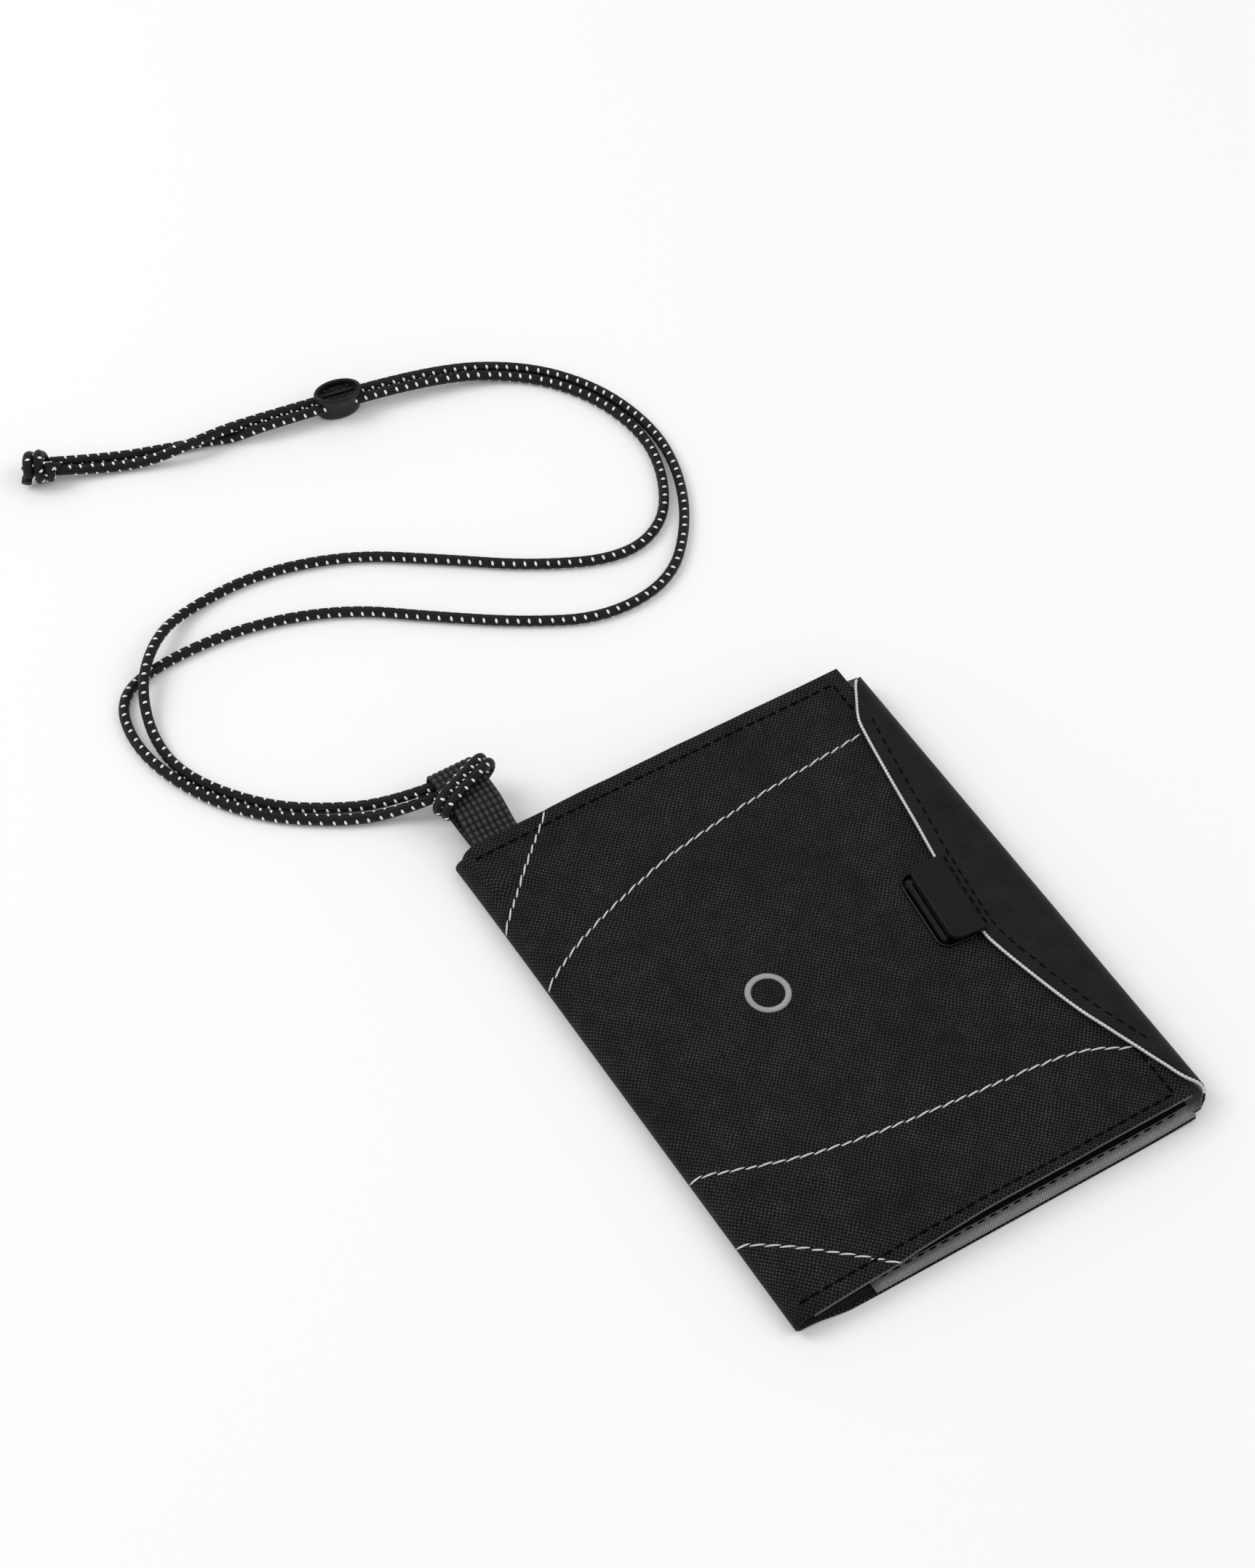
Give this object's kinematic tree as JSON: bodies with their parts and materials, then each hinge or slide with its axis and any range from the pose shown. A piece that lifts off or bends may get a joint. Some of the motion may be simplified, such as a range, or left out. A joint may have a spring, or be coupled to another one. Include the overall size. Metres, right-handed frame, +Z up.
{
  "type": "neck pouch wallet",
  "caption": "Flat folded cloth travel pouch with a magnetic flap, a webbing loop and an elastic neck cord with a sliding cord lock and a stopper knot.",
  "frame": {"origin": "middle of the back panel's outer face, which lies on the table", "axes": "+X from the spine to the flap fold, +Y from the open bottom edge to the corded top edge, +Z up out of the front cover"},
  "size_m": [0.153, 0.296, 0.0122],
  "materials": {
    "shell_cloth": "coarse woven nylon, matt",
    "flap_cloth": "fine twill nylon, slight sheen",
    "black_lining": "thin woven lining",
    "silver_lining": "silver-grey reflective lining",
    "webbing": "ribbed woven webbing",
    "gloss_black": "glossy moulded",
    "matte_black": "fine matt moulded",
    "magnet_metal": "nickel plated",
    "emblem_thread": "satin stitch",
    "pale_thread": "twisted thread",
    "black_thread": "twisted thread",
    "cord_braid": "elastic braid with pale flecks",
    "lock_plastic": "matt moulded",
    "spring_steel": "drawn wire"
  },
  "bodies": {
    "pouch": {"back_panel": "shell_cloth", "spine_fold": "shell_cloth", "front_cover": "shell_cloth", "fold_strip": "flap_cloth", "back_lining": "black_lining", "spine_lining": "black_lining", "silver_pocket": "silver_lining", "cover_lining": "silver_lining", "cover_pocket": "silver_lining", "webbing_loop": "webbing", "catch_base": "gloss_black", "catch_backplate": "matte_black", "base_magnet": "magnet_metal", "emblem": "emblem_thread", "contrast_stitching": "pale_thread", "hem_stitching": "black_thread", "back_stitching": "black_thread", "cord_hitch": "cord_braid", "cord_strand_inner": "cord_braid", "cord_strand_outer": "cord_braid", "cord_knot": "cord_braid"},
    "flap": {"flap_shell": "flap_cloth", "flap_lining": "silver_lining", "flap_stitching": "black_thread", "catch_tab": "matte_black", "tab_magnet": "magnet_metal"},
    "lock": {"cord_lock_body": "lock_plastic", "cord_lock_spring": "spring_steel"},
    "plunger": {"cord_lock_plunger": "lock_plastic"}
  },
  "joints": [
    {"name": "flap_fold", "type": "hinge", "parent": "pouch", "child": "flap", "pos_m": [0.05265, 0, 0.0044], "axis": [0, 1, 0], "range_deg": [0, 170]},
    {"name": "cord_lock_slide", "type": "slide", "parent": "pouch", "child": "lock", "axis": [0.9848, -0.1736, 0], "range_m": [-0.003, 0.008]},
    {"name": "lock_plunger_press", "type": "slide", "parent": "lock", "child": "plunger", "axis": [0, 0, -1], "range_m": [0, 0.0006], "stiffness_N_per_m": 600, "springref_m": -0.0004, "deforming": ["cord_lock_spring"]}
  ]
}
